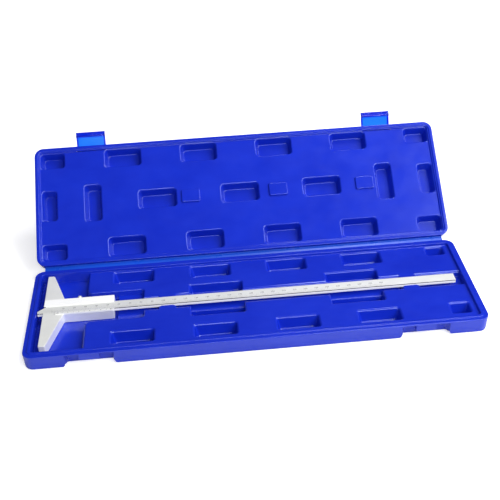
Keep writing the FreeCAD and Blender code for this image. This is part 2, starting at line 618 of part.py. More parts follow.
def beam():
    """Graduated beam with a grooved front edge and a tip tapered on one side."""
    edge = 0.2
    groove_z = BEAM_TOP - 0.75
    section = [
        (BEAM_FRONT + edge, BEAM_BOTTOM),
        (BEAM_BACK - edge, BEAM_BOTTOM),
        (BEAM_BACK, BEAM_BOTTOM + edge),
        (BEAM_BACK, BEAM_TOP - edge),
        (BEAM_BACK - edge, BEAM_TOP),
        (BEAM_FRONT + 0.3, BEAM_TOP),
        (BEAM_FRONT + BEAM_GROOVE, groove_z),
        (BEAM_FRONT, groove_z - 0.3),
        (BEAM_FRONT, BEAM_BOTTOM + edge),
    ]
    blank = section_along_x(section, BEAM_TIP_X, BEAM_END_X)
    tip_y = GAUGE_Y - 1.9
    corner = [
        (BEAM_TIP_X - 1, tip_y - 1),
        (BEAM_TIP_X - 1, BEAM_BACK + 0.6),
        (BEAM_TIP_X + 9.2, BEAM_BACK + 0.6),
        (BEAM_TIP_X, tip_y),
    ]
    points = [FreeCAD.Vector(x, y, BEAM_BOTTOM - 1) for x, y in corner]
    taper = Part.Face(Part.makePolygon(points + points[:1])).extrude(ALONG_Z * (BEAM_THICKNESS + 2))
    hole = rod(STOP_PIN_RADIUS, 1.5, BEAM_END_X - STOP_PIN_IN, GAUGE_Y, BEAM_BOTTOM - 0.3)
    return blank.cut([taper, hole])


def beam_stop_pin():
    """Pin under the far end of the beam, which meets the slider just past full depth."""
    pin = rod(STOP_PIN_RADIUS, 2.0, BEAM_END_X - STOP_PIN_IN, GAUGE_Y, BEAM_BOTTOM - 0.8)
    return pin.makeChamfer(0.15, [pin.Edges[2]])


def main():
    os.makedirs("parts", exist_ok=True)
    pieces = {
        "case_base": case_base(),
        "case_lid": case_lid(),
        "hinge_strip": hinge_strip(),
        "latch_left": latch(-LATCH_X),
        "latch_right": latch(LATCH_X),
        "gauge_frame": gauge_frame(),
        "guide_plate": guide_plate(),
        "guide_plate_screws": guide_plate_screws(),
        "vernier_plate": vernier_plate(),
        "vernier_screws": vernier_screws(),
        "gib_strip": gib_strip(),
        "gib_screws": gib_screws(),
        "clamp_screw": clamp_screw(),
        "beam": beam(),
        "beam_stop_pin": beam_stop_pin(),
    }
    for name, shape in pieces.items():
        print(name, "valid", shape.isValid(), "solids", len(shape.Solids), "volume", round(shape.Volume))
        shape.exportStep("parts/" + name + ".step")


main()
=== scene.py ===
"""Vernier depth gauge in its blow-moulded case: the looks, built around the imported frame.

Metres, in the frame's axes: +X along the case, +Y to the hinge, +Z up, origin under the tray.
"""
import math

import bmesh
import bpy
from bpy.props import FloatProperty, FloatVectorProperty, IntProperty, PointerProperty
from mathutils import Matrix, Vector


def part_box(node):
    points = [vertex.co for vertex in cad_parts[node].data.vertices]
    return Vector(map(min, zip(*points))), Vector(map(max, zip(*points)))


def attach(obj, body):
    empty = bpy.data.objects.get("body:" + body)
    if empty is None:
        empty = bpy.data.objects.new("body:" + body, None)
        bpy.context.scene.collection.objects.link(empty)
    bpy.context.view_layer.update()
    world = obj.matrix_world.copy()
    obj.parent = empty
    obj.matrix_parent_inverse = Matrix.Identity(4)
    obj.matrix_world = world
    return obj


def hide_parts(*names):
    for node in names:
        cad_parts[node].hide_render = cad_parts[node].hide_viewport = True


bl_info = {
    "name": "Vernier depth gauge in a moulded case",
    "version": (1, 0, 0),
    "blender": (4, 5, 0),
    "location": "View3D > Sidebar > Depth gauge",
    "description": "Builds the case, its hinge and latches, the gauge's scales and a plain stage",
    "category": "Object",
}

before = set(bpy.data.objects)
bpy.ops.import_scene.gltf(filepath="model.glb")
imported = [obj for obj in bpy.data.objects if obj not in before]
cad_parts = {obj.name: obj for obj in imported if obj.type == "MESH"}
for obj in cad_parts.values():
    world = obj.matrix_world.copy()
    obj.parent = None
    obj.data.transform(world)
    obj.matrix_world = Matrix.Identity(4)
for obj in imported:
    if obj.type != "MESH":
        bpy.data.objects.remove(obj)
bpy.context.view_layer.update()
MM = 0.001


def mm(*values):
    return tuple(value * MM for value in values)


# ---- sizes shared by several pieces, as the frame has them ----
BASE_LOW, BASE_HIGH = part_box("case_base")
FRAME_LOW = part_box("gauge_frame")[0]
BEAM_LOW, BEAM_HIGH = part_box("beam")
VERNIER_LOW, VERNIER_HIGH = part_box("vernier_plate")
CLAMP_LOW, CLAMP_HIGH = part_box("clamp_screw")
VERNIER_ZERO_X = VERNIER_LOW.x + 1.5 * MM
CASE_LENGTH = BASE_HIGH.x - BASE_LOW.x
CASE_FRONT = -BASE_LOW.y
TONGUE_Z = BASE_HIGH.z
FLANGE_Z = TONGUE_Z - 0.75 * MM
DECK_Z = FLANGE_Z - 1.9 * MM
LIP_Z = FLANGE_Z + 0.2 * MM
LID_DEPTH = 12.4 * MM
PANEL_Z = LIP_Z + 2.3 * MM
CHANNEL_Z = DECK_Z - 5.6 * MM
RECESS_Z = FRAME_LOW.z - 0.25 * MM
GAUGE_Y = (BEAM_LOW.y + BEAM_HIGH.y) / 2
DECK_INSET = 6.95 * MM
DECK_RADIUS = 2.6 * MM
PANEL_INSET = 4.7 * MM
PANEL_RADIUS = 3.3 * MM
PAST_RIM = 4.0 * MM
LATCH_X = 145.1 * MM
LATCH_WIDTH = 28.8 * MM
LATCH_BAR_RADIUS = 1.05 * MM
HINGE_WEB = 8.3 * MM
HINGE_LENGTH = 388.0 * MM
LID_TURN = math.radians(71.17)
LATCH_TURN = math.radians(63.0)
FOLD_BASE = Vector((0, CASE_FRONT + 0.7 * MM, FLANGE_Z - 4.85 * MM))
FOLD_LID = FOLD_BASE + Vector((0, 0, HINGE_WEB))
LATCH_PIVOT = Vector((0, 2.5 * MM - CASE_FRONT, LIP_Z + 4.2 * MM))
ARC_STEPS = 10
SOFT_STEPS = 4
BAR_STEPS = 32
SHARP_ANGLE = math.radians(34)
ALONG_X = Matrix.Rotation(math.pi / 2, 4, "Y")


# ---- settings a user would change ----
class CaseSettings(bpy.types.PropertyGroup):
    """Roundings, tapers and depths of the moulded case"""

    corner_radius: FloatProperty(
        name="Corner radius", description="Upright corners of the case", default=8.7 * MM, unit="LENGTH"
    )
    mouth_radius: FloatProperty(
        name="Mouth rounding", description="Rounding round a recess's mouth", default=1.6 * MM, unit="LENGTH"
    )
    floor_radius: FloatProperty(
        name="Floor rounding", description="Rounding between a wall and its floor",
        default=1.2 * MM, unit="LENGTH",
    )
    wall_taper: FloatProperty(
        name="Wall taper", description="Sideways per depth, so that the part leaves its mould", default=0.16
    )
    deep_taper: FloatProperty(name="Deep taper", description="The same, in the small pockets", default=0.28)
    pocket_radius: FloatProperty(
        name="Pocket corners", description="Upright corners of the pockets", default=2.0 * MM, unit="LENGTH"
    )
    lid_pocket_depth: FloatProperty(
        name="Lid pocket depth", description="How deep the lid's pockets are", default=9.2 * MM, unit="LENGTH"
    )


class FinishSettings(bpy.types.PropertyGroup):
    """Colours of the plastics and the steel"""

    case_colour: FloatVectorProperty(
        name="Case plastic", description="Colour of the moulded halves", subtype="COLOR", size=4,
        default=(0.004, 0.020, 0.48, 1.0),
    )
    latch_colour: FloatVectorProperty(
        name="Latch dye", description="Colour that the clear latches let through", subtype="COLOR", size=4,
        default=(0.0, 0.42, 0.91, 1.0),
    )
    dye_density: FloatProperty(
        name="Dye density", description="How soon a thick latch turns dark", default=3000.0
    )
    hinge_colour: FloatVectorProperty(
        name="Hinge plastic", description="Colour of the thin folding web", subtype="COLOR", size=4,
        default=(0.004, 0.060, 0.50, 1.0),
    )
    chrome_colour: FloatVectorProperty(
        name="Satin chrome", description="Colour of the plated steel", subtype="COLOR", size=4,
        default=(0.93, 0.94, 0.92, 1.0),
    )


class ScaleSettings(bpy.types.PropertyGroup):
    """Graduations, numbers and knurl"""

    reach: IntProperty(name="Range", description="Measuring range in millimetres", default=300)
    vernier_divisions: IntProperty(name="Vernier divisions", description="Spaces on the vernier", default=50)
    line_width: FloatProperty(
        name="Line width", description="Width of a graduation", default=0.1 * MM, unit="LENGTH"
    )
    figure_height: FloatProperty(
        name="Figure height", description="Height of the beam's numbers", default=1.7 * MM, unit="LENGTH"
    )
    knurl_ridges: IntProperty(name="Knurl ridges", description="Ridges round the clamp screw", default=28)


class StageSettings(bpy.types.PropertyGroup):
    """Light on the object"""

    sky: FloatProperty(name="Room light", description="Light from all round", default=0.22)
    glow: FloatProperty(
        name="Reflected room", description="How bright the room is in reflections", default=0.07
    )
    key: FloatProperty(name="Key light", description="Power of the large lamp at the right", default=10.4)
    front: FloatProperty(name="Front light", description="Power of the wide lamp in front", default=18.0)
    top: FloatProperty(name="Top light", description="Power of the lamp overhead", default=5.3)


# ---- outlines and solids ----
def rectangle(x, y, length, width):
    """Corners, anticlockwise, of a rectangle centred at (x, y)."""
    dx, dy = length / 2, width / 2
    return [(x - dx, y - dy), (x + dx, y - dy), (x + dx, y + dy), (x - dx, y + dy)]


def ring(corners, radii, z, wall=0.0, fillet=0.0):
    """Right-angled outline at height z. Its sides stand in by wall + fillet, and fillet also
    changes the radius of each corner, smaller outside corners and larger inside ones."""
    points = []
    for i, (x, y) in enumerate(corners):
        before_x, before_y = corners[i - 1]
        after_x, after_y = corners[(i + 1) % len(corners)]
        into = Vector((x - before_x, y - before_y)).normalized()
        out = Vector((after_x - x, after_y - y)).normalized()
        side = math.copysign(1.0, into.x * out.y - into.y * out.x)
        radius = max(radii[i] - side * fillet, 0.05 * MM)
        from_in = Vector((-into.y, into.x))
        from_out = Vector((-out.y, out.x))
        middle = Vector((x, y)) + (from_in + from_out) * (wall + fillet + side * radius)
        for step in range(ARC_STEPS + 1):
            angle = math.pi / 2 * step / ARC_STEPS
            spoke = from_in * math.cos(angle) + from_out * math.sin(angle)
            point = middle - spoke * side * radius
            points.append((point.x, point.y, z))
    return points


def add_object(name, data):
    piece = bpy.data.objects.new(name, data)
    bpy.context.scene.collection.objects.link(piece)
    return piece


def make_object(name, points, faces):
    mesh = bpy.data.meshes.new(name)
    mesh.from_pydata(points, [], faces)
    return add_object(name, mesh)


def tidy_mesh(piece):
    """Merges doubles and turns every face outwards."""
    work = bmesh.new()
    work.from_mesh(piece.data)
    bmesh.ops.remove_doubles(work, verts=work.verts, dist=0.001 * MM)
    bmesh.ops.dissolve_degenerate(work, edges=work.edges, dist=0.001 * MM)
    bmesh.ops.recalc_face_normals(work, faces=work.faces)
    work.to_mesh(piece.data)
    work.free()
    return piece


def skinned(name, rings):
    """Closed solid through rings of equally many points, with a flat face at each end."""
    count = len(rings[0])
    points = [point for one in rings for point in one]
    faces = [tuple(range(count))[::-1]]
    for level in range(len(rings) - 1):
        low = level * count
        for i in range(count):
            j = (i + 1) % count
            faces.append((low + i, low + j, low + count + j, low + count + i))
    faces.append(tuple(range(len(points) - count, len(points))))
    return tidy_mesh(make_object(name, points, faces))


def block(name, place, radius, levels):
    """Round-cornered solid over a rectangle. levels are (z, wall, fillet)."""
    corners = rectangle(*place)
    return skinned(name, [ring(corners, [radius] * 4, z, wall, fillet) for z, wall, fillet in levels])


def soften(profile):
    """Points of a profile given as (a, b, softness): each corner is a small curve that long."""
    points = []
    for i, (a, b, soft) in enumerate(profile):
        corner = Vector((a, b))
        if soft == 0:
            points.append(corner)
            continue
        back = (Vector(profile[i - 1][:2]) - corner).normalized() * soft
        on = (Vector(profile[(i + 1) % len(profile)][:2]) - corner).normalized() * soft
        for step in range(SOFT_STEPS + 1):
            share = step / SOFT_STEPS
            points.append(corner + back * (1 - share) ** 2 + on * share ** 2)
    return points


def bezier(a, b, c, d, steps):
    """Points along the curve that starts at a, ends at d and is drawn to b and c."""
    points = []
    for step in range(steps + 1):
        t = step / steps
        weights = ((1 - t) ** 3, 3 * t * (1 - t) ** 2, 3 * t * t * (1 - t), t ** 3)
        points.append(sum((Vector(p) * w for p, w in zip((a, b, c, d), weights)), Vector((0, 0))))
    return points


def extruded(name, section, low_x, high_x):
    """Solid of a constant (y, z) section along X."""
    return skinned(name, [[(x, y, z) for y, z in section] for x in (low_x, high_x)])


def cylinder(name, radius, length, middle, turn):
    """Round bar with its axis on Z before turn, centred at middle."""
    angles = [2 * math.pi * step / BAR_STEPS for step in range(BAR_STEPS)]
    circle = [(radius * math.cos(angle), radius * math.sin(angle)) for angle in angles]
    bar = skinned(name, [[(x, y, z) for x, y in circle] for z in (-length / 2, length / 2)])
    bar.data.transform(Matrix.Translation(middle) @ turn)
    return bar


def joined(name, parts):
    """One object from several that don't touch."""
    work = bmesh.new()
    for part in parts:
        work.from_mesh(part.data)
        bpy.data.objects.remove(part)
    mesh = bpy.data.meshes.new(name)
    work.to_mesh(mesh)
    work.free()
    return add_object(name, mesh)


def evaluated_mesh(piece):
    """A new mesh of the piece as its modifiers leave it."""
    graph = bpy.context.evaluated_depsgraph_get()
    return bpy.data.meshes.new_from_object(piece.evaluated_get(graph))


def combine(piece, tool, operation="DIFFERENCE"):
    """Cuts tool out of piece, adds it or keeps what both share; tool is used up."""
    modifier = piece.modifiers.new("combine", "BOOLEAN")
    modifier.operation = operation
    modifier.solver = "EXACT"
    modifier.object = tool
    mesh = evaluated_mesh(piece)
    if not mesh.polygons:
        raise RuntimeError(f"{operation} with {tool.name} leaves nothing of {piece.name}")
    piece.modifiers.remove(modifier)
    piece.data = mesh
    bpy.data.objects.remove(tool)
    return piece


def turn_about(point, angle):
    """Turn by angle round the line along X through point."""
    return Matrix.Translation(point) @ Matrix.Rotation(angle, 4, "X") @ Matrix.Translation(-point)


OPEN_LID = turn_about(FOLD_BASE, -LID_TURN) @ turn_about(FOLD_LID, -LID_TURN)


def finish_piece(piece, materials, body, nodes=()):
    """Smooth shading with crisp edges, materials, and the body that the piece moves with."""
    tidy_mesh(piece)
    mesh = piece.data
    mesh.shade_smooth()
    mesh.set_sharp_from_angle(angle=SHARP_ANGLE)
    mesh.materials.clear()
    for material in materials:
        mesh.materials.append(material)
    normals = piece.modifiers.new("weighted", "WEIGHTED_NORMAL")
    normals.keep_sharp = True
    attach(piece, body)
    if nodes:
        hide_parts(*nodes)
    return piece


# ---- materials ----
class Shader:
    """Small helper round one node material."""

    def __init__(self, name):
        self.material = bpy.data.materials.new(name)
        self.material.use_nodes = True
        self.nodes = self.material.node_tree.nodes
        self.links = self.material.node_tree.links
        self.surface = self.nodes["Principled BSDF"]
        self.place = self.nodes.new("ShaderNodeTexCoord").outputs["Object"]

    def link(self, output, target):
        self.links.new(output, target)

    def feed(self, name, output):
        self.link(output, self.surface.inputs[name])

    def set(self, name, value):
        self.surface.inputs[name].default_value = value

    def noise(self, scale, detail=2.0, stretch=(1, 1, 1)):
        mapping = self.nodes.new("ShaderNodeMapping")
        mapping.inputs["Scale"].default_value = stretch
        self.link(self.place, mapping.inputs["Vector"])
        texture = self.nodes.new("ShaderNodeTexNoise")
        texture.inputs["Scale"].default_value = scale
        texture.inputs["Detail"].default_value = detail
        self.link(mapping.outputs["Vector"], texture.inputs["Vector"])
        return texture.outputs["Fac"]

    def spread(self, value, low=0.0, high=1.0):
        """A noise, which runs mostly from 0.3 to 0.7, as a number from low to high."""
        node = self.nodes.new("ShaderNodeMapRange")
        node.inputs["From Min"].default_value = 0.3
        node.inputs["From Max"].default_value = 0.7
        node.inputs["To Min"].default_value = low
        node.inputs["To Max"].default_value = high
        self.link(value, node.inputs["Value"])
        return node.outputs["Result"]

    def mix(self, factor, first, second):
        node = self.nodes.new("ShaderNodeMix")
        node.data_type = "RGBA"
        self.link(factor, node.inputs[0])
        node.inputs[6].default_value = first
        node.inputs[7].default_value = second
        return node.outputs[2]

    def bump(self, height, strength, distance):
        node = self.nodes.new("ShaderNodeBump")
        node.inputs["Strength"].default_value = strength
        node.inputs["Distance"].default_value = distance
        self.link(height, node.inputs["Height"])
        self.feed("Normal", node.outputs["Normal"])


def tinted(colour, factor):
    """The colour, lighter or darker by a factor."""
    return tuple(min(channel * factor, 1.0) for channel in colour[:3]) + (1.0,)


def case_plastic(finish):
    """Satin polyethylene: faint flow mottling, uneven gloss and a fine mould grain."""
    shader = Shader("case_plastic")
    colour = tuple(finish.case_colour)
    paler = (colour[0] * 1.5, colour[1] * 1.25, colour[2] * 1.05, 1.0)
    mottle = shader.spread(shader.noise(28.0, 4.0, (1.0, 1.6, 1.6)))
    shader.feed("Base Color", shader.mix(mottle, tinted(colour, 0.92), paler))
    shader.feed("Roughness", shader.spread(shader.noise(70.0, 3.0), 0.19, 0.25))
    shader.set("Specular IOR Level", 0.6)
    shader.set("Specular Tint", (0.85, 1.0, 1.0, 1.0))
    shader.bump(shader.noise(900.0, 1.0), 0.03, 0.02 * MM)
    return shader.material


def web_plastic(finish):
    """Thinned polyethylene of the fold, paler than the halves, with faint lines of stretch."""
    shader = Shader("hinge_plastic")
    colour = tuple(finish.hinge_colour)
    stretch = shader.spread(shader.noise(120.0, 2.0, (0.1, 1.0, 1.0)))
    shader.feed("Base Color", shader.mix(stretch, tinted(colour, 0.9), tinted(colour, 1.15)))
    shader.feed("Roughness", shader.spread(shader.noise(90.0), 0.26, 0.34))
    shader.set("Specular IOR Level", 0.35)
    return shader.material


def clear_plastic(finish):
    """Clear dyed polypropylene: azure where it is thin and deep blue where it is thick."""
    shader = Shader("latch_plastic")
    deeper, paler = (0.05, 0.50, 1.0, 1.0), (0.08, 0.60, 1.0, 1.0)
    flow = shader.spread(shader.noise(90.0, 2.0, (0.25, 1.0, 1.0)))
    shader.feed("Base Color", shader.mix(flow, deeper, paler))
    shader.set("Roughness", 0.12)
    shader.set("Transmission Weight", 1.0)
    shader.set("IOR", 1.49)
    dye = shader.nodes.new("ShaderNodeVolumeAbsorption")
    dye.inputs["Color"].default_value = tuple(finish.latch_colour)
    dye.inputs["Density"].default_value = finish.dye_density
    shader.link(dye.outputs["Volume"], shader.nodes["Material Output"].inputs["Volume"])
    return shader.material


def brushed_metal(name, colour, roughness, grain, metallic):
    """Plated, ground or rolled metal, with fine lines along X."""
    shader = Shader(name)
    shader.set("Metallic", metallic)
    lines = shader.noise(grain, 3.0, (0.03, 1.0, 1.0))
    cloud = shader.spread(shader.noise(60.0, 3.0))
    shader.feed("Base Color", shader.mix(cloud, tinted(colour, 0.96), tinted(colour, 1.03)))
    shader.feed("Roughness", shader.spread(lines, roughness * 0.85, roughness * 1.2))
    shader.bump(lines, 0.10, 0.01 * MM)
    return shader.material


def ink(name, dark, worn):
    """Black filling of an engraved line, worn paler in places; the same recipe lays near-black painted shade
    in the beam's groove.
    """
    shader = Shader(name)
    wear = shader.spread(shader.noise(900.0, 2.0))
    shader.feed("Base Color", shader.mix(wear, (dark, dark, dark, 1), (worn, worn, worn, 1)))
    shader.set("Roughness", 0.6)
    shader.set("Specular IOR Level", 0.1)
    return shader.material


PLASTICS = {"case_plastic": case_plastic, "hinge_plastic": web_plastic, "latch_plastic": clear_plastic}
# brightness beside the chrome's, roughness, fineness of the grain, how metallic
STEELS = {
    "satin_chrome": (1.0, 0.38, 2200.0, 0.35),
    "beam_chrome": (1.0, 0.36, 2200.0, 0.44),
    "bright_steel": (1.2, 0.30, 3000.0, 0.1),
    # screw_steel is darker than the chrome: partly a plainer steel, and partly painted shade on the clamp
    # screw that sits in the slider's shade.
    "screw_steel": (0.85, 0.25, 3500.0, 0.6),
}
# how bright the filling is, and where it is worn; the groove's filling is near-black painted shade, not ink
INKS_AND_PAINTED_SHADE = {"scale_ink": (0.09, 0.22), "groove_painted_shade": (0.008, 0.03)}
BRONZE = (0.55, 0.33, 0.13, 1.0)
MADE = {}


def make_material(name):
    """A plastic, an ink, a steel, or the bronze of the gib strip."""
    finish = bpy.context.scene.gauge_finish
    if name in PLASTICS:
        return PLASTICS[name](finish)
    if name in INKS_AND_PAINTED_SHADE:
        return ink(name, *INKS_AND_PAINTED_SHADE[name])
    if name in STEELS:
        share, *grinding = STEELS[name]
        return brushed_metal(name, tinted(finish.chrome_colour, share), *grinding)
    return brushed_metal(name, BRONZE, 0.35, 2500.0, 1.0)


def material(name):
    """Each finish is made once, when the first piece asks for it."""
    if name not in MADE:
        MADE[name] = make_material(name)
    return MADE[name]


# ---- the two moulded halves ----
def case_skin(name, profile, middle, inner):
    """Solid with one section all round the case, a profile of (inset, z). Its corners share the
    outer corners' centres as far in as middle, and from there the opening's."""
    outer = bpy.context.scene.gauge_case.corner_radius
    rings = []
    for inset, z in profile:
        corners = rectangle(0, 0, CASE_LENGTH - 2 * inset, 2 * (CASE_FRONT - inset))
        radius = (outer if inset < middle else inner) - inset
        rings.append(ring(corners, [radius] * 4, z))
    return skinned(name, rings)


def outer_wall(closed_z, open_z):
    """Rounded edge of the closed side, up to the flat of the wall, as (inset, z)."""
    up = math.copysign(1.0, open_z - closed_z)
    curve = [mm(*point) for point in ((1.9, 0.0), (0.8, 0.0), (0.5, 0.3), (0.5, 2.2))]
    return [(inset, closed_z + up * z) for inset, z in bezier(*curve, 6)]


def recess_levels(mouth_z, floor_z, taper, mouth, foot):
    """Levels of a cutting tool, from the floor up through the mouth, as (z, wall, fillet)."""
    up = math.copysign(1.0, mouth_z - floor_z)
    depth = abs(mouth_z - floor_z)
    levels = []
    for step in range(SOFT_STEPS + 1):
        turn = math.pi / 2 * step / SOFT_STEPS
        height = foot * (1 - math.cos(turn))
        levels.append((floor_z + up * height, taper * (depth - height), foot * (1 - math.sin(turn))))
    last = math.radians(80)
    for step in range(SOFT_STEPS + 1):
        turn = last * step / SOFT_STEPS
        below = mouth * (1 - math.sin(turn))
        levels.append((mouth_z - up * below, taper * below, mouth * (math.cos(turn) - 1)))
    levels.append((mouth_z + up * MM, 0.0, -0.92 * mouth))
    return levels


def recess_tool(place, radius, mouth_z, floor_z, taper, mouth, foot):
    return block("tool", place, radius, recess_levels(mouth_z, floor_z, taper, mouth, foot))


def base_recess():
    """Tool for the recess under the bridge and the slider; its right part is shallower."""
    case = bpy.context.scene.gauge_case
    left = DECK_INSET - CASE_LENGTH / 2 - PAST_RIM
    half = CASE_FRONT - DECK_INSET + PAST_RIM
    head, end, front, back = mm(-150.7, -98.9, -16.4, 24.2)
    corners = [(left, -half), (head, -half), (head, front), (end, front), (end, back), (head, back)]
    corners += [(head, half), (left, half)]
    radii = mm(2.6, 2.6, 5.0, 3.1, 3.1, 5.0, 2.6, 2.6)
    levels = recess_levels(DECK_Z, RECESS_Z, case.wall_taper, case.mouth_radius, case.floor_radius)
    tool = skinned("tool", [ring(corners, radii, z, wall, fillet) for z, wall, fillet in levels])
    step_x, beyond, soft = mm(-122.8, 8.0, 0.6)
    length = end - step_x + beyond
    step = (step_x + length / 2, (front + back) / 2, length, back - front + beyond)
    top = CHANNEL_Z
    ledge = [(RECESS_Z - MM, 0, 0), (top - soft, 0, 0), (top - 0.3 * soft, 0, 0.3 * soft), (top, 0, soft)]
    return combine(tool, block("ledge", step, 1.2 * MM, ledge))


def base_channel():
    """Tool for the channel under the beam, less the saddles and the swellings that pinch it."""
    case = bpy.context.scene.gauge_case
    start, width = mm(-102.3, 17.8)
    end = CASE_LENGTH / 2 - DECK_INSET + PAST_RIM
    place = ((start + end) / 2, GAUGE_Y, end - start, width)
    floor_z = CHANNEL_Z - 0.02 * MM
    mouth = 1.4 * case.mouth_radius
    tool = recess_tool(place, 1.9 * MM, DECK_Z, floor_z, case.wall_taper, mouth, 0.8 * MM)
    saddle_z = BEAM_LOW.z - 0.25 * MM
    half_beam = (BEAM_HIGH.y - BEAM_LOW.y) / 2
    pinch, length, saddle_width = mm(7.4, 15.5, 25.2)
    for x in mm(-77.8, 145.4):
        saddle = [(CHANNEL_Z - MM, -1.2 * MM, 0), (saddle_z - 0.5 * MM, -0.1 * MM, 0)]
        saddle += [(saddle_z - 0.15 * MM, 0, 0.15 * MM), (saddle_z, 0, 0.5 * MM)]
        combine(tool, block("saddle", (x, GAUGE_Y, length, saddle_width), 1.9 * MM, saddle))
        for side in (-1, 1):
            y = GAUGE_Y + side * (half_beam + 0.25 * MM + pinch / 2)
            swelling = [(CHANNEL_Z - MM, 0, 0), (DECK_Z - 0.6 * MM, 0, 0), (DECK_Z - 0.2 * MM, 0, 0.14 * MM)]
            swelling += [(DECK_Z - 0.01 * MM, 0, 0.5 * MM), (DECK_Z + 2 * MM, 0, 0.52 * MM)]
            combine(tool, block("swelling", (x, y, length, pinch), 3.4 * MM, swelling))
    return tool


def eased_floor(z, radius, ease):
    """First levels of a block whose floor has a small rounding all round."""
    return [(z, 0, radius), (z + ease, 0, ease), (z + radius, 0, 0)]


def inside_rim(tool, inset, floor_z):
    """Keeps a tool off the raised rim; where it reaches the rim, it has its own floor."""
    place = (0, 0, CASE_LENGTH - 2 * inset, 2 * (CASE_FRONT - inset))
    levels = eased_floor(floor_z, 0.8 * MM, 0.25 * MM)
    levels.append((DECK_Z + 3 * MM, 0, 0))
    return combine(tool, block("rim", place, DECK_RADIUS, levels), "INTERSECT")


def finger_pocket(place):
    """Tool for a deep pocket across the channel, less the shelf that runs through it."""
    case = bpy.context.scene.gauge_case
    floor_z, under = mm(2.5, 1.5)
    mouth, foot = case.mouth_radius, case.floor_radius
    tool = recess_tool(place, case.pocket_radius, DECK_Z, floor_z, case.wall_taper, mouth, foot)
    front, back, lean, soft = mm(-8.4, 13.3, 0.9, 0.6)
    top = CHANNEL_Z - 0.04 * MM
    section = soften([
        (front - lean, under, 0), (front, top, soft), (back, top, soft), (back + lean, under, 0),
    ])
    shelf = extruded("shelf", section[::-1], place[0] - place[2], place[0] + place[2])
    return combine(tool, shelf)


FOUR_STEPS = (-1.5, -0.5, 0.5, 1.5)


def base_pocket_places():
    """The two corner pockets and both rows, as (x, y, length, width)."""
    pitch, length = 72.35, 37.4
    places = [mm(180.7, 46.6, 17.6, 12.0), mm(180.7, -40.6, 17.6, 13.6)]
    for y, width in ((44.4, 17.5), (-41.5, 15.9)):
        places += [mm(step * pitch, y, length, width) for step in FOUR_STEPS]
    return places


def widen_notch(tool, edge, side, front, depth, lip):
    """Splays one flank of a latch notch towards the front and rounds its foot outwards."""
    splay, foot, over = mm(2.2, 3.6, 2.0)
    inner, near, deep = edge - side * MM, front - over, front + depth - MM
    plan = [(inner, near), (edge + side * (splay + 0.8 * MM), near), (edge + side * splay, front)]
    plan += [(edge, deep), (inner, deep)]
    wedge = [[(px, py, pz) for px, py in plan] for pz in (-1.5 * MM, lip - 0.4 * MM)]
    combine(tool, skinned("wedge", wedge), "UNION")
    edge += side * splay
    corner = [(edge - side * over, -MM), (edge - side * over, foot)]
    steps = 2 * SOFT_STEPS
    for step in range(steps + 1):
        turn = math.pi / 2 * step / steps
        corner.append((edge + side * foot * (1 - math.cos(turn)), foot * (1 - math.sin(turn))))
    corner.append((edge + side * foot, -MM))
    rounding = [[(px, y, pz) for px, pz in corner] for y in (near, front + depth - 0.5 * MM)]
    combine(tool, skinned("rounding", rounding), "UNION")


def latch_notch(x):
    """Tool for the notch in the front wall, less the catch that the latch hooks under."""
    depth, outside = mm(5.6, 6.0)
    front = -CASE_FRONT
    lip = FLANGE_Z - MM
    width = 37.8 * MM
    place = (x, front + (depth - outside) / 2, width, depth + outside)
    levels = [mm(-1.0, -0.8, -0.8), mm(0, -1.6, -0.8), mm(0.25, -1.6, -0.25), mm(0.8, -1.5, 0)]
    levels += [(lip - 0.9 * MM, 0.8 * MM, 0), (lip - 0.3 * MM, 0.85 * MM, 0.25 * MM)]
    levels.append((lip, 0.9 * MM, 0.9 * MM))
    tool = block("notch", place, 2.5 * MM, levels)
    for side in (-1, 1):
        widen_notch(tool, x + side * width / 2, side, front, depth, lip)
    catch_z, catch_width, behind = mm(6.6, 18.0, 2.0)
    catch = (x, front + (depth + behind) / 2, catch_width, depth + behind)
    rises = ((0, 0.7), (0.2, 0.3), (0.7, 0.05), (1.4, 0))
    steps = [(catch_z + rise * MM, 0, fillet * MM) for rise, fillet in rises]
    steps.append((lip + MM, 0, 0))
    return combine(tool, block("catch", catch, 0.9 * MM, steps))


def hinge_rib(fold_z, low, high):
    """Rib along a back wall, where the folding web joins it."""
    face = CASE_FRONT + 0.15 * MM
    inside = face - 3.7 * MM
    flat = 0.75 * MM
    section = [(inside, fold_z - low), (face, fold_z - flat), (face, fold_z + flat), (inside, fold_z + high)]
    return extruded("rib", section, -HINGE_LENGTH / 2, HINGE_LENGTH / 2)


